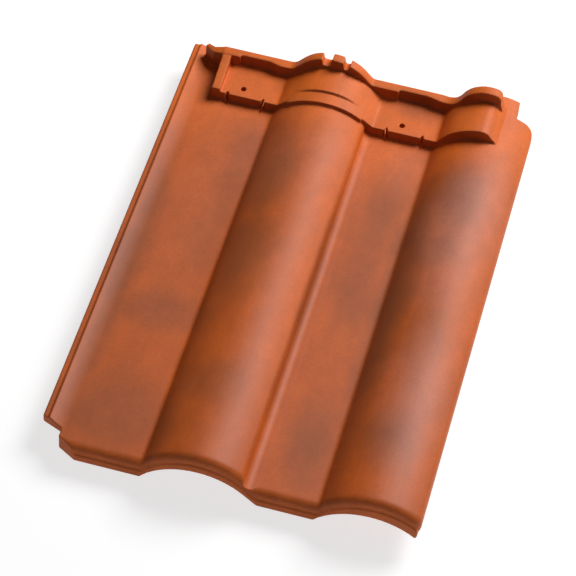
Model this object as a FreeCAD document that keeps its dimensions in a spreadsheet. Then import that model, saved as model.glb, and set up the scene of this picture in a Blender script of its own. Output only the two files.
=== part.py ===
import FreeCAD, Part
import Sketcher
import math
import os
from FreeCAD import Vector

# Double-roll clay pantile, one fired piece. Local frame while drawing: x = 0 at the foot of the
# first roll, y = 0 at the front of the drip lip, z = 0 on the top of the pans, +Y to the head.
doc = FreeCAD.newDocument("pantile")
sheet = doc.addObject("Spreadsheet::Sheet", "Sizes")

SIZES = {
    "pitch": 130.0,          # one pan and one roll across the tile
    "plate_t": 12.0,         # thickness measured upright
    "roll_x": 41.0,          # crown of a roll, from its left foot
    "roll_h": 21.5,          # crown above the pans
    "roll_r": 50.0,          # radius of a roll
    "rim_d": 34.0,           # right rim of the first roll, from its crown
    "foot_r": 3.0,           # hollow at the feet of a roll
    "strip_r": 8.0,          # hollow of the strip between the first roll and the second pan
    "under_d": 2.0,          # radius under a roll, more than over it
    "under_x": -3.0,         # hollow of the second roll, moved across
    "under_z": -1.8,         # hollow of the second roll, moved down
    "rim_over": 3.0,         # where the first roll starts to turn over at that rim, before it
    "valley_h": 3.4,         # floor of the valley beside that rim, above the pans
    "strip_up": 0.15,        # foot of the strip that runs on from it, above the pans
    "left_x": -64.0,         # left end of the nose
    "right_d": 32.7,         # right rim of the tile, from the crown of the second roll
    "rim_r": 7.0,            # rounding over the right rims
    "rim_cut": 3.0,          # bevel under the right rim
    "tile_l": 416.5,         # drip lip to the rear ears
    "nose_r": 6.0,           # rounding over the nose
    "lip_out": 1.2,          # drip lip in front of the nose
    "lip_h": 4.0,            # drip lip, height above the underside
    "lip_drop": 2.3,         # drip lip below the underside
    "lip_w": 10.0,           # drip lip, front to back
    "lip_r": 1.0,            # rounding over the drip lip
    "corner_x": 14.0,        # cut front corner, across
    "corner_y": 8.0,         # cut front corner, along
    "lock_x": -80.0,         # outer edge of the side lock
    "lock_y": 21.5,          # front end of the side lock at its outer edge
    "lock_slant": 6.5,       # slant of that end
    "lock_t": 6.0,           # side lock thickness under the pan face
    "rim_h": 3.2,            # top of the strip inside the lock's rim, above the pans
    "rim_w": 4.6,            # rim of the side lock
    "rim_step": 1.7,         # rim of the side lock below the top of the strip
    "slope_w": 13.5,         # strip running down to the pan
    "head_d": 53.2,          # front wall of the head, from the rear ears
    "edge_r": 1.0,           # rounding over the edges of the head
    "floor_h": 8.5,          # head floor above the pans
    "step_1": 3.2,           # head step on the first roll
    "brow_l": 1.7,           # front wall on the first roll, in front of the rest
    "brow_w": 30.0,          # half its width
    "head_x2": -1.0,         # crown of the head on the second roll, from the roll's crown
    "head_up2": 10.0,        # the same, above the roll's crown
    "head_r2": 42.0,         # the same, radius
    "head_l": -51.5,         # left end of the head
    "head_r": 3.8,           # right end of the head, from the crown of the second roll
    "head_s": 8.0,           # rounding at that end
    "head_run": 4.5,         # slope beside that end
    "scale_d": 43.5,         # front of the raised crescent on the first roll, from the rear ears
    "scale_h": 2.0,          # crescent above the head step
    "scale_n": 5.0,          # radius of the crescent, less than the roll's
    "back_d": 11.7,          # back of the rear rib, from the rear ears
    "rib_w": 6.3,            # rear rib, front to back
    "rib_h": 18.6,           # rear rib above the pans
    "rib_x1": -2.5,          # rear rib over the first roll: crown, from the roll's crown
    "rib_up1": 11.7,         # crown above the head step
    "rib_r1": 36.0,          # radius
    "rib_end": 24.0,         # right rim, from the roll's crown
    "rib_f1": 8.0,           # hollow at its left foot
    "rib_x2": -6.0,          # rear rib over the second roll: crown, from the roll's crown
    "rib_up2": 9.2,          # crown above the head
    "rib_r2": 24.0,          # radius
    "rib_f2": 14.0,          # hollow at its left foot
    "rib_r": 4.0,            # right end of the rear rib, from the crown of the second roll
    "rib_s": 6.0,            # rounding at that end
    "rib_run": 3.0,          # slope beside that end, across
    "rib_rise": 10.0,        # the same, upright
    "rib_cut": 2.3,          # recess in the front of the rear rib
    "gap_up": 4.2,           # floor of the gaps between the teeth, above the head step
    "gap_1": -12.6,          # first gap, left side from the roll's crown
    "gap_w1": 9.0,           # first gap, width
    "gap_2": 4.8,            # second gap, left side from the roll's crown
    "gap_w2": 6.8,           # second gap, width
    "gap_lean": 1.6,         # lean of the sides of the teeth
    "mark_d": 1.4,           # fine cuts across the top of the rear rib
    "mark_x": 8.0,           # first of them, from the rim of the first roll
    "mark_w": 45.0,          # distance to the other
    "tail_h": 18.0,          # swept left end of the rear rib above the pans
    "tail_w": 17.0,          # its length across
    "tail_drop": 6.0,        # fall of its top to the tip
    "wall_w": 7.0,           # side wall of the first compartment
    "wall_h": 11.5,          # side wall above the pans, at its front
    "wall_b": 17.0,          # side wall above the pans, at the rear rib
    "hole_r": 2.2,           # nail holes
    "hole_x": -27.5,         # first nail hole, across
    "hole_d": 44.2,          # nail holes, from the rear ears
    "nick_w": 4.2,           # nicks in the front wall, width
    "nick_l": 4.6,           # nicks in the front wall, along
    "nick_x": 14.6,          # nicks to either side of the middle of a nib
    "ear_l": -60.0,          # left ear of the back edge
    "ear_r": -1.0,           # right ear of the back edge, left side from the crown of the second roll
    "ear_w": 18.0,           # width of the right ear
    "ear_d": 17.5,           # shoulder beside the right ear, from its end
    "back_r": 7.0,           # round back corner beside the shoulder
    "seat_drop": 12.0,       # nibs and foot ribs below the underside
    "nib_w": 40.0,           # hanging nib, across
    "nib_l": 15.0,           # hanging nib, along
    "nib_d": 32.5,           # front face of the hanging nibs, from the rear ears
    "nib_x": -24.0,          # middle of the first nib and foot rib, across
    "rib_foot_y": 26.0,      # foot rib behind the nose
    "rib_foot_l": 9.0,       # foot rib, along
    "rib_foot_w": 52.0,      # foot rib, across
    "draft": 8.0,            # draft of the foot ribs, degrees
}
for row, (alias, number) in enumerate(SIZES.items(), start=1):
    sheet.set("A%d" % row, alias)
    sheet.set("B%d" % row, str(number))
    sheet.setAlias("B%d" % row, alias)
doc.recompute()

body = doc.addObject("PartDesign::Body", "pantile")
body.Label = "pantile"
ORIGIN = {}
for item in body.Origin.OriginFeatures:
    for plane in ("XY_Plane", "XZ_Plane", "YZ_Plane", "X_Axis"):
        if item.Name.startswith(plane):
            ORIGIN[plane] = item


def size(formula):
    """Write a formula of sheet aliases as an expression on the sheet."""
    for alias in SIZES:
        formula = formula.replace("<" + alias + ">", "Sizes." + alias)
    return formula


def value(formula):
    """Number that a formula stands for with the sizes as drawn."""
    return float(sheet.evalExpression(size(formula)))


def new_sketch(name, plane, offset="0"):
    """Sketch on an origin plane of the body, moved along the plane's normal."""
    sk = body.newObject("Sketcher::SketchObject", name)
    sk.AttachmentSupport = [(ORIGIN[plane], "")]
    sk.MapMode = "FlatFace"
    sk.setExpression("AttachmentOffset.Base.z", size(offset))
    sk.Visibility = False
    return sk


def fix(sk, kind, geo, pos, formula):
    """Distance of a point from the sketch origin, driven by the sheet."""
    number = sk.addConstraint(Sketcher.Constraint(kind, -1, 1, geo, pos, value(formula)))
    sk.setExpression("Constraints[%d]" % number, size(formula))


def fix_radius(sk, geo, formula):
    number = sk.addConstraint(Sketcher.Constraint("Radius", geo, value(formula)))
    sk.setExpression("Constraints[%d]" % number, size(formula))


def line(a, b):
    return Part.LineSegment(Vector(a[0], a[1], 0), Vector(b[0], b[1], 0))


def arc(centre, radius, start, end):
    circle = Part.Circle(Vector(centre[0], centre[1], 0), Vector(0, 0, 1), radius)
    return Part.ArcOfCircle(circle, start, end)


def angle(point, centre):
    return math.atan2(point[1] - centre[1], point[0] - centre[0])


def polygon(sk, points, rounds=None):
    """Closed outline through points given as pairs of formulas.

    rounds: for a stretch that is round, by the number of its first point, the radius and the side
    of its centre, 1 to the left of the way along and -1 to the right.
    """
    rounds = rounds or {}
    first = sk.GeometryCount
    spots = [(value(x), value(y)) for x, y in points]
    count = len(spots)
    ends = []
    for i in range(count):
        a = spots[i]
        b = spots[(i + 1) % count]
        if i not in rounds:
            sk.addGeometry(line(a, b), False)
            ends.append((1, 2))
            continue
        radius = value(rounds[i][0])
        side = rounds[i][1]
        lift = side * math.sqrt((radius / math.dist(a, b)) ** 2 - 0.25)
        centre = ((a[0] + b[0]) / 2 - (b[1] - a[1]) * lift, (a[1] + b[1]) / 2 + (b[0] - a[0]) * lift)
        ends.append((1, 2) if side > 0 else (2, 1))
        start, end = (a, b) if side > 0 else (b, a)
        sk.addGeometry(arc(centre, radius, angle(start, centre), angle(end, centre)), False)
    for i in range(count):
        j = (i + 1) % count
        sk.addConstraint(Sketcher.Constraint("Coincident", first + i, ends[i][1], first + j, ends[j][0]))
    for i in range(count):
        fix(sk, "DistanceX", first + i, ends[i][0], points[i][0])
        fix(sk, "DistanceY", first + i, ends[i][0], points[i][1])
    for i, (radius, side) in rounds.items():
        fix_radius(sk, first + i, radius)


def box(sk, x0, y0, x1, y1):
    polygon(sk, [(x0, y0), (x1, y0), (x1, y1), (x0, y1)])


HEAD_Y = "(<tile_l> - <head_d>)"
BACK_Y = "(<tile_l> - <back_d>)"
RIB_Y = "(<tile_l> - <back_d> - <rib_w>)"
NIB_Y = "(<tile_l> - <nib_d>)"
EAR_Y = "(<tile_l> - <ear_d>)"
UNDER_R = "(<roll_r> + <under_d>)"
ROLL_END = "(<roll_x> + <rim_d>)"
CROWN_2 = "(<roll_x> + <pitch>)"
RIGHT_X = "(<roll_x> + <pitch> + <right_d>)"
EAR_R = "(<roll_x> + <pitch> + <ear_r>)"
HEAD_1 = "<roll_h> + <step_1>"
HEAD_2 = "<roll_h> + <head_up2>"
RIB_1 = HEAD_1 + " + <rib_up1>"
RIB_2 = HEAD_2 + " + <rib_up2>"
ROLL_1 = ("<roll_x>", "<roll_h>", "<roll_r>")
ROLL_2 = (CROWN_2, "<roll_h>", "<roll_r>")


def wave(name, offset, pan="0", roll_1=ROLL_1, roll_2=ROLL_2, raised="0", left="<left_x>",
         right=RIGHT_X, shoulder="<rim_r>", rim=ROLL_END, feet=("<foot_r>", "<foot_r>"),
         bevel="<rim_cut>"):
    """Section of pan, roll, pan, roll across the tile, as a closed outline.

    pan: height of the pan faces; roll_1, roll_2: crown across, crown height and radius of each
    roll; raised: lower line above the underside of the plate; left, right: ends of the section;
    shoulder: rounding at the right end; rim: right rim of the first roll; feet: hollows at the
    left feet of the rolls; bevel: cut under the right end.
    """
    sk = new_sketch(name, "XZ_Plane", offset)
    under = "-<plate_t> + " + raised
    low_z = "<roll_h> - <plate_t> - %s + %s" % (UNDER_R, raised)
    low_1 = ("<roll_x>", low_z)
    low_2 = (CROWN_2 + " + <under_x>", low_z + " + <under_z>")
    cut_x = right + " - " + bevel
    end_z = "%s + sqrt(%s ^ 2 - (%s - (%s)) ^ 2)" % (low_2[1], UNDER_R, cut_x, low_2[0])
    cut_z = end_z + " + " + bevel
    zp = value(pan)
    zb = value(under)
    xl = value(left)
    xr = value(right)
    rs = value(shoulder)
    ru = value(UNDER_R)
    r_1 = value(roll_1[2])
    r_2 = value(roll_2[2])
    c_1 = (value(roll_1[0]), value(roll_1[1]) - r_1)
    c_2 = (value(roll_2[0]), value(roll_2[1]) - r_2)
    b_1 = (value(low_1[0]), value(low_1[1]))
    b_2 = (value(low_2[0]), value(low_2[1]))

    def left_foot(centre, radius, foot):
        spot = (centre[0] - math.sqrt((radius + foot) ** 2 - (zp + foot - centre[1]) ** 2), zp + foot)
        turn = angle(centre, spot)
        return spot, turn, (spot[0] + foot * math.cos(turn), spot[1] + foot * math.sin(turn))

    foot_1 = value(feet[0])
    foot_2 = value(feet[1])
    f_1, turn_1, touch_1 = left_foot(c_1, r_1, foot_1)
    f_2, turn_2, touch_2 = left_foot(c_2, r_2, foot_2)
    # the sloping strip leaves the first roll along its tangent and runs out on the second pan
    end = value(rim)
    top = (end, c_1[1] + math.sqrt(r_1 ** 2 - (end - c_1[0]) ** 2))
    fall = math.atan2(end - c_1[0], top[1] - c_1[1])
    knee = end + (top[1] - zp) / math.tan(fall)
    rh = value("<foot_r>")
    back = rh * math.tan(fall / 2)
    s_1 = (knee - back * math.cos(fall), zp + back * math.sin(fall))
    s_2 = (knee + back, zp)
    # the right end is rounded over and bevelled below
    mid = (xr - rs, c_2[1] + math.sqrt((r_2 - rs) ** 2 - (xr - rs - c_2[0]) ** 2))
    lean = angle(mid, c_2)
    side = (xr, mid[1])
    corner = (xr, value(cut_z))
    under_end = (value(cut_x), value(end_z))
    # underside: hollow rolls with sharp feet, and the strip below the first rim
    left_1 = (b_1[0] - math.sqrt(ru ** 2 - (zb - b_1[1]) ** 2), zb)
    left_2 = (b_2[0] - math.sqrt(ru ** 2 - (zb - b_2[1]) ** 2), zb)
    last = value(ROLL_END)
    low = (last, b_1[1] + math.sqrt(ru ** 2 - (last - b_1[0]) ** 2))
    fall_b = math.atan2(last - b_1[0], low[1] - b_1[1])
    knee_b = (last + (low[1] - zb) / math.tan(fall_b), zb)
    down = -math.pi / 2
    sk.addGeometry([
        line((xl, zp), (f_1[0], zp)),
        arc(f_1, foot_1, down, turn_1),
        arc(c_1, r_1, angle(top, c_1), angle(touch_1, c_1)),
        line(top, s_1),
        arc((s_2[0], zp + rh), rh, down - fall, down),
        line(s_2, (f_2[0], zp)),
        arc(f_2, foot_2, down, turn_2),
        arc(c_2, r_2, lean, angle(touch_2, c_2)),
        arc(mid, rs, 0, lean),
        line(side, corner),
        line(corner, under_end),
        arc(b_2, ru, angle(under_end, b_2), angle(left_2, b_2)),
        line(left_2, knee_b),
        line(knee_b, low),
        arc(b_1, ru, angle(low, b_1), angle(left_1, b_1)),
        line(left_1, (xl, zb)),
        line((xl, zb), (xl, zp)),
    ], False)
    for a, p, b, q in ((0, 2, 1, 1), (1, 2, 2, 2), (2, 1, 3, 1), (3, 2, 4, 1), (4, 2, 5, 1), (5, 2, 6, 1),
                       (6, 2, 7, 2), (7, 1, 8, 2), (8, 1, 9, 1), (13, 2, 14, 1)):
        sk.addConstraint(Sketcher.Constraint("Tangent", a, p, b, q))
    for a, p, b, q in ((9, 2, 10, 1), (10, 2, 11, 1), (11, 2, 12, 1), (12, 2, 13, 1), (14, 2, 15, 1),
                       (15, 2, 16, 1), (16, 2, 0, 1)):
        sk.addConstraint(Sketcher.Constraint("Coincident", a, p, b, q))
    for flat in (0, 5, 12, 15):
        sk.addConstraint(Sketcher.Constraint("Horizontal", flat))
    for upright in (9, 16):
        sk.addConstraint(Sketcher.Constraint("Vertical", upright))
    for geo, formula in ((1, feet[0]), (6, feet[1]), (4, "<foot_r>"), (2, roll_1[2]), (7, roll_2[2]),
                         (8, shoulder), (11, UNDER_R), (14, UNDER_R)):
        fix_radius(sk, geo, formula)
    for geo, x, z in ((2, roll_1[0], roll_1[1] + " - (" + roll_1[2] + ")"),
                      (7, roll_2[0], roll_2[1] + " - (" + roll_2[2] + ")"),
                      (11, low_2[0], low_2[1]), (14, low_1[0], low_1[1])):
        fix(sk, "DistanceX", geo, 3, x)
        fix(sk, "DistanceY", geo, 3, z)
    fix(sk, "DistanceX", 2, 1, rim)
    fix(sk, "DistanceX", 14, 1, ROLL_END)
    fix(sk, "DistanceX", 9, 2, right)
    fix(sk, "DistanceY", 9, 2, cut_z)
    fix(sk, "DistanceX", 11, 1, cut_x)
    fix(sk, "DistanceX", 0, 1, left)
    fix(sk, "DistanceY", 0, 1, pan)
    fix(sk, "DistanceY", 5, 1, pan)
    fix(sk, "DistanceY", 12, 1, under)
    fix(sk, "DistanceY", 15, 1, under)
    return sk


def pad(name, sk, length, reversed_=False, taper=None, middle=False):
    feature = body.newObject("PartDesign::Pad", name)
    feature.Profile = sk
    feature.setExpression("Length", size(length))
    feature.Reversed = reversed_
    feature.Midplane = middle
    if taper:
        feature.setExpression("TaperAngle", size(taper))
    doc.recompute()
    return feature


def pocket(name, sk, length=None, reversed_=False):
    feature = body.newObject("PartDesign::Pocket", name)
    feature.Profile = sk
    if length:
        feature.setExpression("Length", size(length))
    else:
        feature.Type = "ThroughAll"
        feature.Midplane = True
    feature.Reversed = reversed_
    doc.recompute()
    return feature


def pattern(name, feature):
    """The same feature again on the next pan."""
    twin = body.newObject("PartDesign::LinearPattern", name)
    twin.Originals = [feature]
    twin.Direction = (ORIGIN["X_Axis"], [""])
    twin.setExpression("Length", size("<pitch>"))
    twin.Occurrences = 2
    body.Tip = twin
    doc.recompute()
    return twin


def top_edges(feature, place, inward):
    """Upper edges of the wall that stands across the tile at a place along it."""
    solid = feature.Shape
    wall = value(place)
    near = 0.2
    names = []
    for number, edge in enumerate(solid.Edges, start=1):
        middle = edge.valueAt((edge.FirstParameter + edge.LastParameter) / 2)
        spots = [v.Point for v in edge.Vertexes] + [middle]
        if any(abs(p.y - wall) > 0.01 for p in spots):
            continue
        above = middle + Vector(0, near * inward, near)
        below = middle + Vector(0, near * inward, -near)
        if solid.isInside(below, 0.001, False) and not solid.isInside(above, 0.001, False):
            names.append("Edge%d" % number)
    return names


def soften(name, feature, edges, radius):
    """Rounding over edges of a feature."""
    rounded = body.newObject("PartDesign::Fillet", name)
    rounded.Base = (feature, edges)
    rounded.setExpression("Radius", size(radius))
    doc.recompute()
    return rounded


def slope(name, end, place, rise, run, length):
    """Slope from an upright end down to the right flank of the second roll."""
    end_x = CROWN_2 + " + " + end
    foot = "<roll_h> - <roll_r> + sqrt(<roll_r> ^ 2 - %s ^ 2)" % end
    sk = new_sketch(name + "_line", "XZ_Plane", "-" + place)
    polygon(sk, [(end_x + " - 1", foot + " - 1"),
                 (end_x + " + %s * (1 + 1 / %s)" % (run, rise), foot + " - 1"),
                 (end_x + " - 1", foot + " + %s * (1 + 1 / %s)" % (rise, run))])
    pad(name, sk, length, True)


# Plate: pan, roll, pan, roll, from the nose to the ears.
plate = pad("plate", wave("plate_line", "-<lip_out>"), "<tile_l> - <lip_out>", True)

# Rounded nose over the front edge.
soften("nose", plate, top_edges(plate, "<lip_out>", 1), "<nose_r>")

# Drip lip along the lower edge of the nose.
LIP = " - <plate_t> + <lip_h>"
lip = pad("drip_lip", wave("lip_line", "0", "0" + LIP, ("<roll_x>", "<roll_h>" + LIP, "<roll_r>"),
                           (CROWN_2, "<roll_h>" + LIP, "<roll_r>"), "-<lip_drop>",
                           right=RIGHT_X + " - <rim_cut> / 2", shoulder="<lip_h> / 2", bevel="<rim_cut> / 2"),
          "<lip_w>", True)
soften("lip_round", lip, top_edges(lip, "0", 1), "<lip_r>")

# First roll's rim: it turns over to a valley, and a hollow strip runs on from there to the pan.
SINE = "((<rim_d> - <rim_over>) / <roll_r>)"
COSINE = "sqrt(1 - %s ^ 2)" % SINE
RIM_X = "(<roll_x> + (<roll_r> - <rim_r>) * %s + <rim_r>)" % SINE
FALL = "(<valley_h> - <strip_up>)"
STRIP_X = RIM_X + " + sqrt(2 * <strip_r> * %s - %s ^ 2)" % (FALL, FALL)
sk = new_sketch("valley_line", "XZ_Plane")
polygon(sk, [("<roll_x> + <roll_r> * " + SINE, "<roll_h> - <roll_r> + <roll_r> * " + COSINE),
             (RIM_X, "<roll_h> - <roll_r> + (<roll_r> - <rim_r>) * " + COSINE), (RIM_X, "<valley_h>"),
             (STRIP_X, "<strip_up>"), (STRIP_X + " + <strip_r>", "<strip_up>"),
             (STRIP_X + " + <strip_r>", "<roll_h>")],
        {0: ("<rim_r>", -1), 2: ("<strip_r>", 1)})
pocket("valley", sk, HEAD_Y + " + 1")

# Cut front corner.
sk = new_sketch("corner_line", "XY_Plane")
polygon(sk, [("<left_x> - 1", "-1"), ("<left_x> + <corner_x> * (1 + 1 / <corner_y>)", "-1"),
             ("<left_x> - 1", "<corner_y> * (1 + 1 / <corner_x>)")])
pocket("corner", sk)

# Side lock: a thin flange with a low rim, and a hollow strip that runs down from it to the pan.
sk = new_sketch("lock_line", "XZ_Plane", "-<lock_y> + <lock_slant>")
TOP_X = "<lock_x> + <rim_w> + <rim_step> / 2"
LOW_RIM = "<rim_h> - <rim_step>"
polygon(sk, [("<left_x> + 6", "-<lock_t>"), ("<left_x> + 6", "0"), (TOP_X + " + <slope_w>", "0"),
             (TOP_X, "<rim_h>"), ("<lock_x> + <rim_w>", LOW_RIM), ("<lock_x> + 1", LOW_RIM),
             ("<lock_x>", LOW_RIM + " - 1"), ("<lock_x>", "-<lock_t> + 1"), ("<lock_x> + 1", "-<lock_t>")],
        {2: ("(<slope_w> ^ 2 + <rim_h> ^ 2) / (2 * <rim_h>)", -1)})
pad("side_lock", sk, "<tile_l> - <lock_y> + <lock_slant>", True)
sk = new_sketch("lock_end_line", "XY_Plane")
polygon(sk, [("<lock_x> - 1", "<lock_y> - <lock_slant> - 1"), ("<left_x>", "<lock_y> - <lock_slant> - 1"),
             ("<left_x>", "<lock_y> - <lock_slant>"), ("<lock_x>", "<lock_y>"), ("<lock_x> - 1", "<lock_y>")])
pocket("lock_end", sk)

# Head: a raised floor with a front wall, running over both rolls.
head = pad("head", wave("head_line", "-" + HEAD_Y, "<floor_h>", ("<roll_x>", HEAD_1, "<roll_r> + <step_1>"),
                        (CROWN_2 + " + <head_x2>", HEAD_2, "<head_r2>"), "<plate_t> / 2", "<head_l>",
                        CROWN_2 + " + <head_r>", "<head_s>", ROLL_END + " - <rim_over>"),
           "<head_d> - <back_d>", True)
soften("head_round", head, top_edges(head, HEAD_Y, 1), "<edge_r>")
slope("head_slope", "<head_r>", HEAD_Y, "<head_run>", "<head_run>", "<head_d> - <back_d>")

# Front wall on the first roll, a little in front of the rest.
sk = new_sketch("brow_line", "XZ_Plane", "-" + HEAD_Y + " + <brow_l>")
INNER = "<roll_r> - <step_1>"
OUTER = "<roll_r> + <step_1>"
BROW_Z = "<roll_h> - <roll_r> + sqrt((%s) ^ 2 - <brow_w> ^ 2)"
polygon(sk, [("<roll_x> + <brow_w>", BROW_Z % INNER), ("<roll_x> + <brow_w>", BROW_Z % OUTER),
             ("<roll_x> - <brow_w>", BROW_Z % OUTER), ("<roll_x> - <brow_w>", BROW_Z % INNER)],
        {1: (OUTER, 1), 3: (INNER, -1)})
pad("brow", sk, "<brow_l> + <edge_r>", True)

# Crescent on the first roll, a little above the head step.
sk = new_sketch("crescent_line", "XZ_Plane", "-(<tile_l> - <scale_d>)")
CREST = HEAD_1 + " + <scale_h>"
SCALE_R = "(<roll_r> - <scale_n>)"
half = value(SCALE_R + " * 0.6")
centre = (value("<roll_x>"), value(CREST + " - " + SCALE_R))
low = centre[1] + value(SCALE_R + " * 0.8")
sk.addGeometry([arc(centre, value(SCALE_R), math.atan2(0.8, 0.6), math.atan2(0.8, -0.6)),
                line((centre[0] - half, low), (centre[0] + half, low))], False)
sk.addConstraint(Sketcher.Constraint("Coincident", 0, 2, 1, 1))
sk.addConstraint(Sketcher.Constraint("Coincident", 1, 2, 0, 1))
sk.addConstraint(Sketcher.Constraint("Horizontal", 1))
fix_radius(sk, 0, SCALE_R)
fix(sk, "DistanceX", 0, 3, "<roll_x>")
fix(sk, "DistanceY", 0, 3, CREST + " - " + SCALE_R)
fix(sk, "DistanceY", 1, 1, CREST + " - " + SCALE_R + " * 0.2")
pad("crescent", sk, "<scale_d> - <back_d>", True)

# Rear rib along the back edge, with gaps between its teeth.
rib = pad("rear_rib", wave("rib_line", "-" + RIB_Y, "<rib_h>", ("<roll_x> + <rib_x1>", RIB_1, "<rib_r1>"),
                           (CROWN_2 + " + <rib_x2>", RIB_2, "<rib_r2>"), "<plate_t> / 2", "<head_l>",
                           CROWN_2 + " + <rib_r>", "<rib_s>", "<roll_x> + <rib_end>",
                           ("<rib_f1>", "<rib_f2>")), "<rib_w>", True)
soften("rib_round", rib, top_edges(rib, RIB_Y, 1) + top_edges(rib, BACK_Y, -1), "<edge_r>")
slope("rib_slope", "<rib_r>", RIB_Y, "<rib_rise>", "<rib_run>", "<rib_w>")
sk = new_sketch("gap_line", "XZ_Plane")
for left, width in (("<gap_1>", "<gap_w1>"), ("<gap_2>", "<gap_w2>")):
    start = "<roll_x> + " + left
    polygon(sk, [(start + " + <gap_lean>", HEAD_1 + " + <gap_up>"),
                 (start + " + %s - <gap_lean>" % width, HEAD_1 + " + <gap_up>"),
                 (start + " + " + width, RIB_1 + " + 1"), (start, RIB_1 + " + 1")])
pocket("gaps", sk)

# Fine cuts across its top.
sk = new_sketch("mark_line", "XZ_Plane")
for spot in (ROLL_END + " + <mark_x>", ROLL_END + " + <mark_x> + <mark_w>"):
    polygon(sk, [(spot, "<rib_h> - <mark_d>"), (spot + " + <mark_d>", "<rib_h> + <mark_d>"),
                 (spot + " - <mark_d>", "<rib_h> + <mark_d>")])
pocket("marks", sk)

# Recess in the front of the rear rib behind each pan.
sk = new_sketch("recess_line", "XY_Plane", "<floor_h>")
polygon(sk, [("<nib_x> - 13", RIB_Y + " - 1"), ("<nib_x> + 21", RIB_Y + " - 1"), ("<nib_x> + 19", RIB_Y),
             ("<nib_x> + 11", RIB_Y + " + <rib_cut>"), ("<nib_x> - 13", RIB_Y + " + <rib_cut>")])
recess = pocket("recess", sk, "<rib_h>", True)
pattern("recesses", recess)

# Swept left end of the rear rib, falling to its tip.
sk = new_sketch("tail_line", "XY_Plane", "-<lock_t> / 2")
polygon(sk, [("<head_l> + 2", RIB_Y), ("<head_l> - <tail_w> / 2", RIB_Y),
             ("<head_l> - <tail_w>", BACK_Y + " + 1.7"), ("<head_l> - <tail_w> + 2.5", BACK_Y + " + 4.2"),
             ("<head_l> - <tail_w> / 2", BACK_Y), ("<head_l> + 2", BACK_Y)])
pad("tail", sk, "<lock_t> / 2 + <tail_h>")
sk = new_sketch("tail_top_line", "XZ_Plane", "-" + RIB_Y + " + 1")
TIP_X = "<head_l> - <tail_w> - 1"
polygon(sk, [("<head_l>", "<tail_h> + 1"), ("<head_l>", "<tail_h>"), (TIP_X, "<tail_h> - <tail_drop>"),
             (TIP_X, "<tail_h> + 1")])
pocket("tail_top", sk, "<rib_w> + <back_d>")

# Side wall of the first compartment.
sk = new_sketch("wall_line", "YZ_Plane", "<head_l> + <wall_w> / 2")
polygon(sk, [(HEAD_Y, "-<plate_t> / 2"), (HEAD_Y, "<wall_h>"), (RIB_Y + " + <rib_w> / 2", "<wall_b>"),
             (RIB_Y + " + <rib_w> / 2", "-<plate_t> / 2")])
pad("side_wall", sk, "<wall_w>", False, None, True)

# Back edge: set in between two ears, and a shoulder beside the right one.
sk = new_sketch("back_line", "XY_Plane")
polygon(sk, [("<ear_l> - 7", "<tile_l> + 1"), ("<ear_l>", BACK_Y), (EAR_R, BACK_Y), (EAR_R, "<tile_l> + 1")])
polygon(sk, [(EAR_R + " + <ear_w>", "<tile_l> + 1"), (EAR_R + " + <ear_w>", EAR_Y),
             (RIGHT_X + " - <back_r>", EAR_Y), (RIGHT_X, EAR_Y + " - <back_r>"),
             (RIGHT_X + " + 1", EAR_Y + " - <back_r>"), (RIGHT_X + " + 1", "<tile_l> + 1")],
        {2: ("<back_r>", -1)})
pocket("back", sk)

# Nail holes through the head floor of each pan.
sk = new_sketch("hole_line", "XY_Plane")
HOLE_Y = "<tile_l> - <hole_d>"
sk.addGeometry(Part.Circle(Vector(value("<hole_x>"), value(HOLE_Y), 0), Vector(0, 0, 1), value("<hole_r>")))
fix(sk, "DistanceX", 0, 3, "<hole_x>")
fix(sk, "DistanceY", 0, 3, HOLE_Y)
fix_radius(sk, 0, "<hole_r>")
hole = pocket("nail_hole", sk)
pattern("nail_holes", hole)

# Nicks in the front wall.
sk = new_sketch("nick_line", "XY_Plane", "<floor_h> / 8")
for side in ("- <nick_x>", "+ <nick_x>"):
    polygon(sk, [("<nib_x> " + side + " - <nick_w> / 2", HEAD_Y + " - 1"),
                 ("<nib_x> " + side + " + <nick_w> / 2", HEAD_Y + " - 1"),
                 ("<nib_x> " + side, HEAD_Y + " + <nick_l>")])
nick = pocket("nick", sk, "<floor_h> + 1", True)
pattern("nicks", nick)

# Hanging nibs under the head and foot ribs behind the nose.
sk = new_sketch("nib_line", "YZ_Plane", "<nib_x>")
polygon(sk, [(NIB_Y, "-<plate_t> + 1"), (NIB_Y, "-<plate_t> - <seat_drop>"),
             (NIB_Y + " + <nib_l> * 0.75", "-<plate_t> - <seat_drop>"),
             (NIB_Y + " + <nib_l>", "-<plate_t> + 1")])
nib = pad("nib", sk, "<nib_w>", False, None, True)
pattern("nibs", nib)
sk = new_sketch("foot_line", "XY_Plane", "-<plate_t> + 1")
box(sk, "<nib_x> - <rib_foot_w> / 2", "<rib_foot_y>",
    "<nib_x> + <rib_foot_w> / 2", "<rib_foot_y> + <rib_foot_l>")
foot = pad("foot_rib", sk, "<seat_drop> + 1", True, "-<draft>")
pattern("foot_ribs", foot)

# Stand the tile on its nibs and foot ribs, centred over the origin.
body.setExpression("Placement.Base.x", size("-(<lock_x> + " + RIGHT_X + ") / 2"))
body.setExpression("Placement.Base.y", size("-<tile_l> / 2"))
body.setExpression("Placement.Base.z", size("<plate_t> + <seat_drop>"))
doc.recompute()

for item in doc.Objects:
    if "Invalid" in item.State or "Error" in item.State:
        raise RuntimeError("not built: " + item.Name)
shape = body.Shape
if shape.isNull() or not shape.isValid() or len(shape.Solids) != 1:
    raise RuntimeError("the tile is not one sound solid")
os.makedirs("parts", exist_ok=True)
shape.exportStep("parts/pantile.step")
print(shape.BoundBox, shape.Volume)
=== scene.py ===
import math
import bmesh
import bpy
from mathutils import Matrix, Vector
from mathutils.bvhtree import BVHTree
from mathutils.interpolate import poly_3d_calc


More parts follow.
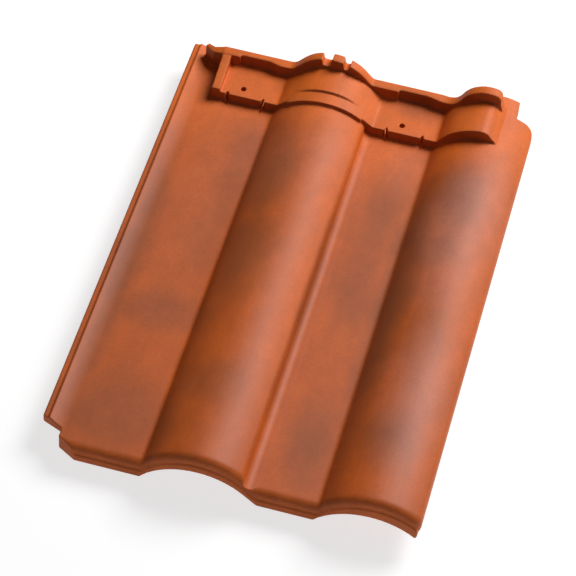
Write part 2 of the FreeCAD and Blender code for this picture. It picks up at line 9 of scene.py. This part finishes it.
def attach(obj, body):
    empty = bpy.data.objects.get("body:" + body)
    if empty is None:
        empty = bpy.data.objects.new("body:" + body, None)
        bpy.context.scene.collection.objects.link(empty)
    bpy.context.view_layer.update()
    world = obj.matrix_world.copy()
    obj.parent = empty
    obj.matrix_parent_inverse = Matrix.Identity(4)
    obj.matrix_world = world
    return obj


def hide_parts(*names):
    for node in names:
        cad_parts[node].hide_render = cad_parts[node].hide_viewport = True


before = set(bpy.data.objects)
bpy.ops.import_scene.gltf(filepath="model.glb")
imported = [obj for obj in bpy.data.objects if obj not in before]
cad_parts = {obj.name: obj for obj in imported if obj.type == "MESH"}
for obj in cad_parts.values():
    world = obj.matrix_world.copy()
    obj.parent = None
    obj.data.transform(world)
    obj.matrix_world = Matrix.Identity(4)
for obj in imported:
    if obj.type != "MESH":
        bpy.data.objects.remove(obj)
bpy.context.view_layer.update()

MM = 0.001

# Photograph's camera: where it looks, from which side, and its lens
IMAGE_PX = 576
FOCAL_PX = 2740.0
SENSOR_MM = 36.0
VIEW_AZIMUTH = 10.89
VIEW_ELEVATION = 50.0
VIEW_ROLL = 5.12
VIEW_TARGET = Vector((-0.0030, -0.0227, 0.030))
VIEW_DISTANCE = 2.0534

# Soft boxes: name, direction, distance (m), width (m), power (W); and the light of the plain world
LAMPS = (
    ("key", (0.42, 0.55, 0.80), 2.2, 1.2, 53.0),
    ("fill", (-0.10, -0.90, 0.40), 2.2, 2.0, 3.0),
)
WORLD_LIGHT = 0.04

# Floor: half its width (m), its grey and glow where it is seen, and its grey as the tile gets light from it
FLOOR_HALF = 6.0
FLOOR_SEEN = 0.40
FLOOR_GLOW = 0.72
FLOOR_BOUNCE = 0.85

# Soft edges of pressed clay: mesh size, smoothing, share of faces kept, and the turns (degrees) up to which
# the solid's own normals hold fully and from which they no longer hold
MERGE = 0.005 * MM
VOXEL = 0.7 * MM
SOFT_SHARE = 0.5
SOFT_STEPS = 3
KEEP_FACES = 0.14
TRUE_TURN = 8.0
SOFT_TURN = 20.0
NORMAL_STEPS = 4

# Clay colours, linear: clean where the kiln's flame did not reach, darker on the weathered face, brown where
# it is flashed, and grey for the painted sheen
CLEAN = (0.71, 0.134, 0.009)
FIRED = (0.55, 0.103, 0.009)
SMOKE = (0.28, 0.070, 0.018)
PAINTED_SHEEN_GREY = (0.46, 0.22, 0.176)

# Noises in the clay: scale, detail, roughness and stretch
CLOUDS = (14.0, 5.0, 0.55, (1.0, 0.55, 1.0))
MOTTLE = (60.0, 5.0, 0.6, (1.0, 0.6, 1.0))
GRAIN = (650.0, 4.0, 0.65, (1.0, 1.0, 1.0))
PORES = 900.0
PIT_EDGE = (0.16, 0.05)

# How mottle and grain change the shade: from and to of the noise, from and to of the shade
MOTTLE_SHADE = (0.25, 0.75, 0.90, 1.10)
GRAIN_SHADE = (0.2, 0.8, 0.9, 1.1)
# painted shade in the pores, darkened where the relief dents them
PIT_PAINTED_SHADE = 0.15

# Weathered face: how far it looks up, where it starts at the nose and ends in clouds before the head (m)
UPWARD = (0.0, 0.45)
FACE_NOSE = (-0.2085, -0.202)
FACE_HEAD = (0.165, 0.110)
FACE_CLOUDS = 0.10

# Painted shade on the walls of the head that look to the nose: their turn, where they start (m) and how dark
# the painted shade makes them
FORWARD = (-0.3, -0.8)
HEAD_START = (0.1525, 0.1532)
PAINTED_WALL_SHADE = 0.58

# Satin shine and fine relief
SPECULAR = 0.5
ROUGH_CLEAN = 0.58
ROUGH_FIRED = 0.53
ROUGH_GRAIN = 0.06
GRAIN_LIFT = 0.6
PIT_LIFT = -0.5
RELIEF_SHARE = 0.25
RELIEF = 0.12 * MM

# Thin fins of clay left by the press beside the nicks: top, foot and inner corner of each (mm)
FINS = (
    ((-104.5, 159.0, 32.8), (-99.9, 151.5, 24.0), (-100.2, 155.6, 24.0)),
    ((-69.6, 156.5, 32.8), (-71.8, 150.8, 24.0), (-71.2, 155.6, 24.0)),
    ((28.6, 156.8, 32.8), (30.8, 151.6, 24.0), (30.4, 155.6, 24.0)),
    ((63.6, 157.8, 32.8), (59.0, 151.2, 24.0), (60.0, 155.6, 24.0)),
)
FIN_W = 0.9

# Rear rib (mm), filled out towards the nose and leaning back in its middle. Each zone says where the change
# starts, is full, ends being full and has died out; only what lies above the plate moves.
RIB_FILL = 2.3
FILL_ALONG = (183.0, 190.0, 192.7, 196.2)
FILL_ACROSS = (-122.0, -112.0, 116.0, 121.0)
RIB_LEAN = 1.6
LEAN_ALONG = (183.0, 189.0, 198.0, 206.0)
LEAN_ACROSS = (-50.0, -40.0, 66.0, 76.0)
LEAN_TALL = 8.0
RIB_ABOVE = 31.6

# Side wall of the first pocket, which runs up to the top of the rib (mm)
WALL_LIFT = 1.9
WALL_ACROSS = (-114.0, -105.6)
WALL_ALONG = (155.0, 190.1)
WALL_FOOT = 33.0
WALL_TALL = 6.0
WALL_TOP = 42.4

# Patches on the face: place across, place along, half widths (mm), strength. Bare ones kept clean of the
# flame, sheen ones take a grey painted sheen on upward surfaces, darker ones darken the floor of the second
# pocket a little and paint shade along the valley at the right rim of the first roll, and smoky ones are
# flashed brown.
BARE = (
    (4, 88, 12, 60, 0.80),
    (4, -40, 12, 110, 0.60),
    (128, 40, 13, 150, 0.55),
)
PAINTED_SHEEN = (
    (112, 60, 32, 80, 0.36),
    (110, -110, 28, 70, 0.34),
    (-30, 110, 75, 50, 0.10),
    (-95, 60, 26, 110, 0.07),
    (50, 128, 24, 34, 0.12),
)
DARKER_AND_VALLEY_SHADE = (
    (45, 184, 26, 14, 0.36),
    # painted shade along the valley at the right rim of the first roll
    (13, -25, 4, 150, 0.40),
)
SMOKY = (
    (-70, 82, 18, 75, 0.45),
    (-92, -68, 42, 18, 0.50),
    (-92, -170, 48, 36, 0.55),
    (-78, 6, 22, 28, 0.30),
    (-128, -10, 13, 170, 0.75),
    (-40, 76, 18, 46, 0.70),
    (-37, -8, 20, 42, 0.70),
    (-32, -134, 26, 22, 0.55),
    (46, 82, 24, 52, 0.60),
    (48, -4, 24, 50, 0.50),
    (48, -150, 24, 46, 0.65),
    (75, -20, 17, 200, 1.00),
    (96, 92, 27, 40, 0.75),
    (98, 36, 24, 22, 0.55),
    (106, -38, 22, 46, 0.45),
    (98, -144, 27, 34, 0.75),
)
PATCH_EDGE = (1.40, 0.20)
PATCH_CLOUDS = 1.7


def node(tree, kind, **values):
    """Add a shader node; names such as in0 set or link that input socket, others set a property."""
    made = tree.nodes.new(kind)
    for name, value in values.items():
        if name.startswith("in") and name[2:].isdigit():
            if isinstance(value, bpy.types.NodeSocket):
                tree.links.new(value, made.inputs[int(name[2:])])
            else:
                made.inputs[int(name[2:])].default_value = value
        else:
            setattr(made, name, value)
    return made


def maths(tree, operation, a, b=0.0):
    """One sum of two numbers or sockets."""
    return node(tree, "ShaderNodeMath", operation=operation, in0=a, in1=b).outputs[0]


def times(tree, a, b):
    return maths(tree, "MULTIPLY", a, b)


def ramp(tree, value, low, high, to_low=0.0, to_high=1.0):
    """Smooth step from low to high."""
    made = node(tree, "ShaderNodeMapRange", interpolation_type="SMOOTHSTEP", in0=value, in1=low, in2=high,
                in3=to_low, in4=to_high)
    return made.outputs[0]


def noise(tree, spot, scale, detail, roughness, stretch):
    """Noise over the tile, in its own frame."""
    moved = node(tree, "ShaderNodeVectorMath", operation="MULTIPLY", in0=spot, in1=stretch)
    made = node(tree, "ShaderNodeTexNoise", in0=moved.outputs[0], in2=scale, in3=detail, in4=roughness)
    return made.outputs[0]


def blend(tree, share, a, b):
    """Mix of two colours."""
    made = node(tree, "ShaderNodeMix", data_type="RGBA")
    tree.links.new(share, made.inputs[0])
    for socket, value in ((made.inputs[6], a), (made.inputs[7], b)):
        if isinstance(value, bpy.types.NodeSocket):
            tree.links.new(value, socket)
        else:
            socket.default_value = (*value, 1.0)
    return made.outputs[2]


def clay_material():
    """Satin fired clay: orange body, smoky flashing, grey painted sheen, fine grain and pores, and painted
    shade in the pores, a valley and the walls of the head.
    """
    made = bpy.data.materials.new("clay")
    made.use_nodes = True
    tree = made.node_tree
    shader = tree.nodes["Principled BSDF"]
    spot = node(tree, "ShaderNodeTexCoord").outputs["Object"]
    axes = node(tree, "ShaderNodeSeparateXYZ", in0=spot).outputs
    normal = node(tree, "ShaderNodeNewGeometry").outputs["Normal"]
    facing = node(tree, "ShaderNodeSeparateXYZ", in0=normal).outputs
    upward = ramp(tree, facing[2], *UPWARD)
    clouds = maths(tree, "SUBTRACT", noise(tree, spot, *CLOUDS), 0.5)

    def patches(spots):
        """Where any of the patches lies, broken up by the clouds."""
        found = None
        for x, y, wide, long, strength in spots:
            dx = maths(tree, "DIVIDE", maths(tree, "SUBTRACT", axes[0], x * MM), wide * MM)
            dy = maths(tree, "DIVIDE", maths(tree, "SUBTRACT", axes[1], y * MM), long * MM)
            far = maths(tree, "SQRT", maths(tree, "ADD", times(tree, dx, dx), times(tree, dy, dy)))
            far = maths(tree, "ADD", far, times(tree, clouds, PATCH_CLOUDS))
            spread = ramp(tree, far, *PATCH_EDGE, 0.0, strength)
            found = spread if found is None else maths(tree, "MAXIMUM", found, spread)
        return found

    def rest(share):
        return maths(tree, "SUBTRACT", 1.0, share)

    # the weathered face between the nose and the head, with cloudy ends and patches
    along = maths(tree, "ADD", axes[1], times(tree, clouds, FACE_CLOUDS))
    face = times(tree, ramp(tree, axes[1], *FACE_NOSE), ramp(tree, along, *FACE_HEAD))
    face = times(tree, face, upward)
    face = times(tree, face, rest(patches(BARE)))
    colour = blend(tree, face, CLEAN, FIRED)
    colour = blend(tree, times(tree, patches(SMOKY), face), colour, SMOKE)
    # grey painted sheen on upward surfaces, in place of shine
    colour = blend(tree, times(tree, patches(PAINTED_SHEEN), upward), colour, PAINTED_SHEEN_GREY)

    # uneven shade, darker on some patches, and painted shade in the pores, along the valley beside the first
    # roll and on the walls of the head that look to the nose
    grain = noise(tree, spot, *GRAIN)
    mottle = noise(tree, spot, *MOTTLE)
    pores = node(tree, "ShaderNodeTexVoronoi", in0=spot, in2=PORES).outputs[0]
    pits = ramp(tree, pores, *PIT_EDGE)
    wall = times(tree, ramp(tree, facing[1], *FORWARD), ramp(tree, axes[1], *HEAD_START))
    shade = times(tree, ramp(tree, mottle, *MOTTLE_SHADE), ramp(tree, grain, *GRAIN_SHADE))
    # painted shade in the pores
    shade = times(tree, shade, rest(times(tree, pits, PIT_PAINTED_SHADE)))
    # painted shade on the walls of the head that look to the nose
    shade = times(tree, shade, ramp(tree, wall, 0.0, 1.0, 1.0, PAINTED_WALL_SHADE))
    # the floor of the second pocket a little darker, and painted shade along the valley beside the first roll
    shade = times(tree, shade, rest(patches(DARKER_AND_VALLEY_SHADE)))
    colour = node(tree, "ShaderNodeVectorMath", operation="SCALE", in0=colour)
    tree.links.new(shade, colour.inputs["Scale"])
    tree.links.new(colour.outputs[0], shader.inputs["Base Color"])

    rough = ramp(tree, face, 0.0, 1.0, ROUGH_CLEAN, ROUGH_FIRED)
    rough = maths(tree, "ADD", rough, times(tree, grain, ROUGH_GRAIN))
    tree.links.new(rough, shader.inputs["Roughness"])
    shader.inputs["Specular IOR Level"].default_value = SPECULAR
    lift = maths(tree, "ADD", times(tree, grain, GRAIN_LIFT), times(tree, pits, PIT_LIFT))
    bump = node(tree, "ShaderNodeBump", in0=RELIEF_SHARE, in1=RELIEF)
    tree.links.new(lift, bump.inputs["Height"])
    tree.links.new(bump.outputs[0], shader.inputs["Normal"])
    return made


def soft_tile(source):
    """The solid's shape with every edge rounded a little, as pressed clay has them."""
    shape = bmesh.new()
    shape.from_mesh(source.data)
    bmesh.ops.transform(shape, matrix=source.matrix_world, verts=shape.verts)
    bmesh.ops.remove_doubles(shape, verts=shape.verts, dist=MERGE)
    mesh = bpy.data.meshes.new("hard_tile")
    shape.to_mesh(mesh)
    shape.free()
    hard = bpy.data.objects.new("hard_tile", mesh)
    bpy.context.scene.collection.objects.link(hard)
    remesh = hard.modifiers.new("even", "REMESH")
    remesh.mode = "VOXEL"
    remesh.voxel_size = VOXEL
    soften = hard.modifiers.new("soft", "SMOOTH")
    soften.factor = SOFT_SHARE
    soften.iterations = SOFT_STEPS
    thin = hard.modifiers.new("thin", "DECIMATE")
    thin.ratio = KEEP_FACES
    depsgraph = bpy.context.evaluated_depsgraph_get()
    soft = bpy.data.meshes.new_from_object(hard.evaluated_get(depsgraph))
    soft.name = "pantile_soft"
    bpy.data.objects.remove(hard)
    tile = bpy.data.objects.new("pantile_soft", soft)
    bpy.context.scene.collection.objects.link(tile)
    shape_rib(soft)
    add_fins(soft)
    true_normals(soft, source)
    return tile


def within(value, zone):
    """Share of a change that holds at a place, from its zone."""
    start, full, last, end = zone
    return max(0.0, min(1.0, (value - start) / (full - start), (end - value) / (end - last)))


def shape_rib(soft):
    """Fill out and lean the rear rib, and carry the side wall of the first pocket up to its top."""
    for vertex in soft.vertices:
        x, y, z = vertex.co / MM
        if WALL_ACROSS[0] < x < WALL_ACROSS[1] and WALL_ALONG[0] < y < WALL_ALONG[1] and z > WALL_FOOT:
            rise = (y - WALL_ALONG[0]) / (WALL_ALONG[1] - WALL_ALONG[0])
            lift = WALL_LIFT * rise * min(1.0, (z - WALL_FOOT) / WALL_TALL)
            vertex.co.z = max(z, min(z + lift, WALL_TOP)) * MM
        if z > RIB_ABOVE:
            lean = RIB_LEAN * within(y, LEAN_ALONG) * within(x, LEAN_ACROSS)
            fill = RIB_FILL * within(y, FILL_ALONG) * within(x, FILL_ACROSS)
            vertex.co.y += (lean * min(1.0, (z - RIB_ABOVE) / LEAN_TALL) - fill) * MM


def add_fins(soft):
    """Thin three-cornered fins against the front wall of the head."""
    shape = bmesh.new()
    shape.from_mesh(soft)
    for corners in FINS:
        left = [shape.verts.new((Vector(c) - Vector((FIN_W / 2, 0, 0))) * MM) for c in corners]
        right = [shape.verts.new((Vector(c) + Vector((FIN_W / 2, 0, 0))) * MM) for c in corners]
        shape.faces.new(left[::-1])
        shape.faces.new(right)
        for a in range(3):
            b = (a + 1) % 3
            shape.faces.new((left[a], left[b], right[b], right[a]))
    shape.to_mesh(soft)
    shape.free()


def true_normals(soft, source):
    """Shade even stretches by the normals of the solid, and softened edges by their own."""
    solid = source.data
    solid.calc_loop_triangles()
    spots = [source.matrix_world @ v.co for v in solid.vertices]
    sides = [tuple(t.vertices) for t in solid.loop_triangles]
    corners = [tuple(t.loops) for t in solid.loop_triangles]
    turn = source.matrix_world.to_3x3()
    normals = [turn @ n.vector for n in solid.corner_normals]
    tree = BVHTree.FromPolygons(spots, sides)
    shading = []
    for vertex, own in zip(soft.vertices, soft.vertex_normals):
        place, _, side, _ = tree.find_nearest(vertex.co)
        shares = poly_3d_calc([spots[i] for i in sides[side]], place)
        true = sum((normals[c] * share for c, share in zip(corners[side], shares)), Vector())
        lean = math.degrees(own.vector.angle(true, 0.0))
        share = min(1.0, max(0.0, (SOFT_TURN - lean) / (SOFT_TURN - TRUE_TURN)))
        shading.append(own.vector.lerp(true.normalized(), share).normalized())
    # neighbours that turn little share their normals, so that no fine ledge of the solid shows as a line
    near = math.cos(math.radians(SOFT_TURN))
    for _ in range(NORMAL_STEPS):
        sums = [n.copy() for n in shading]
        for edge in soft.edges:
            a, b = edge.vertices
            if shading[a].dot(shading[b]) > near:
                sums[a] += shading[b]
                sums[b] += shading[a]
        shading = [n.normalized() for n in sums]
    soft.shade_smooth()
    soft.normals_split_custom_set_from_vertices(shading)


def floor_material():
    """Floor that is nearly white where it is seen, keeps the tile's shadow, and lights the tile from below."""
    made = bpy.data.materials.new("floor")
    made.use_nodes = True
    tree = made.node_tree
    tree.nodes.remove(tree.nodes["Principled BSDF"])

    def matt(grey):
        return node(tree, "ShaderNodeBsdfDiffuse", in0=(grey, grey, grey, 1)).outputs[0]

    rays = node(tree, "ShaderNodeLightPath").outputs
    seen = maths(tree, "MAXIMUM", rays["Is Camera Ray"],
                 maths(tree, "MAXIMUM", rays["Is Glossy Ray"], rays["Is Transmission Ray"]))
    glow = node(tree, "ShaderNodeEmission", in0=(1, 1, 1, 1), in1=FLOOR_GLOW)
    shown = node(tree, "ShaderNodeAddShader", in0=matt(FLOOR_SEEN), in1=glow.outputs[0])
    mixed = node(tree, "ShaderNodeMixShader", in0=seen, in1=matt(FLOOR_BOUNCE), in2=shown.outputs[0])
    tree.links.new(mixed.outputs[0], tree.nodes["Material Output"].inputs[0])
    return made


def studio():
    """Pale floor, a soft box from behind and right, a weak one in front, and a plain dim world."""
    half = FLOOR_HALF
    floor_mesh = bpy.data.meshes.new("floor")
    floor_mesh.from_pydata([(-half, -half, 0), (half, -half, 0), (half, half, 0), (-half, half, 0)], [],
                           [(0, 1, 2, 3)])
    floor = bpy.data.objects.new("floor", floor_mesh)
    bpy.context.scene.collection.objects.link(floor)
    floor_mesh.materials.append(floor_material())

    for name, towards, distance, wide, power in LAMPS:
        lamp = bpy.data.lights.new(name, "AREA")
        lamp.shape = "SQUARE"
        lamp.size = wide
        lamp.energy = power
        holder = bpy.data.objects.new(name, lamp)
        place = Vector(towards).normalized() * distance
        holder.location = place
        holder.rotation_euler = place.to_track_quat("Z", "Y").to_euler()
        bpy.context.scene.collection.objects.link(holder)

    world = bpy.data.worlds.new("studio")
    world.use_nodes = True
    world.node_tree.nodes["Background"].inputs["Color"].default_value = (1, 1, 1, 1)
    world.node_tree.nodes["Background"].inputs["Strength"].default_value = WORLD_LIGHT
    bpy.context.scene.world = world


def photo_camera():
    """Camera at the photograph's place, turned about its line of sight as there."""
    az = math.radians(VIEW_AZIMUTH)
    el = math.radians(VIEW_ELEVATION)
    back = Vector((math.sin(az) * math.cos(el), -math.cos(az) * math.cos(el), math.sin(el)))
    right = (-back).cross(Vector((0, 0, 1))).normalized()
    up = right.cross(-back)
    turn = Matrix.Rotation(math.radians(VIEW_ROLL), 3, back)
    right = turn @ right
    up = turn @ up
    lens = bpy.data.cameras.new("photo")
    lens.sensor_fit = "HORIZONTAL"
    lens.sensor_width = SENSOR_MM
    lens.lens = FOCAL_PX * SENSOR_MM / IMAGE_PX
    camera = bpy.data.objects.new("photo", lens)
    axes = Matrix((right, up, back)).transposed()
    camera.matrix_world = Matrix.Translation(VIEW_TARGET + back * VIEW_DISTANCE) @ axes.to_4x4()
    bpy.context.scene.collection.objects.link(camera)
    bpy.context.scene.camera = camera


bpy.context.scene.view_settings.view_transform = "Standard"
tile = soft_tile(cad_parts["pantile"])
tile.data.materials.clear()
tile.data.materials.append(clay_material())
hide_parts("pantile")
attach(tile, "root")
studio()
photo_camera()
